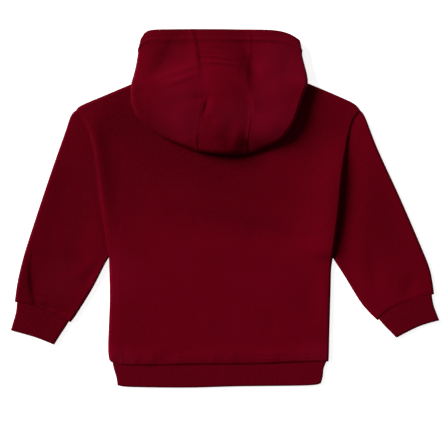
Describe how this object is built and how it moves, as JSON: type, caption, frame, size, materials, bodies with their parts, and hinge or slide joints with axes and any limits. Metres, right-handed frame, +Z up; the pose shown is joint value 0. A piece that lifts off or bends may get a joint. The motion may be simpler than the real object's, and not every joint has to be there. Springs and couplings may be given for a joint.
{
  "type": "kids hoodie",
  "caption": "Child's plain pullover hoodie in burgundy brushed jersey, laid flat with its back up and the hood spread over the shoulders, with rib cuffs and a rib hem band",
  "frame": {"origin": "on the surface the garment lies on, under the middle of its box", "axes": "+X towards the wearer's right sleeve, +Y from the hem towards the hood, +Z up"},
  "size_m": [0.681, 0.5715, 0.032],
  "materials": {
    "jersey": "brushed cotton jersey, matt with a soft nap",
    "rib": "1x1 rib knit, matt"
  },
  "bodies": {
    "root": {"back": "jersey", "front": "jersey", "sleeve_left": "jersey", "sleeve_right": "jersey", "cuff_left": "rib", "cuff_right": "rib", "hem_band": "rib", "hood_side_left": "jersey", "hood_side_right": "jersey", "hood_centre": "jersey"}
  },
  "joints": []
}
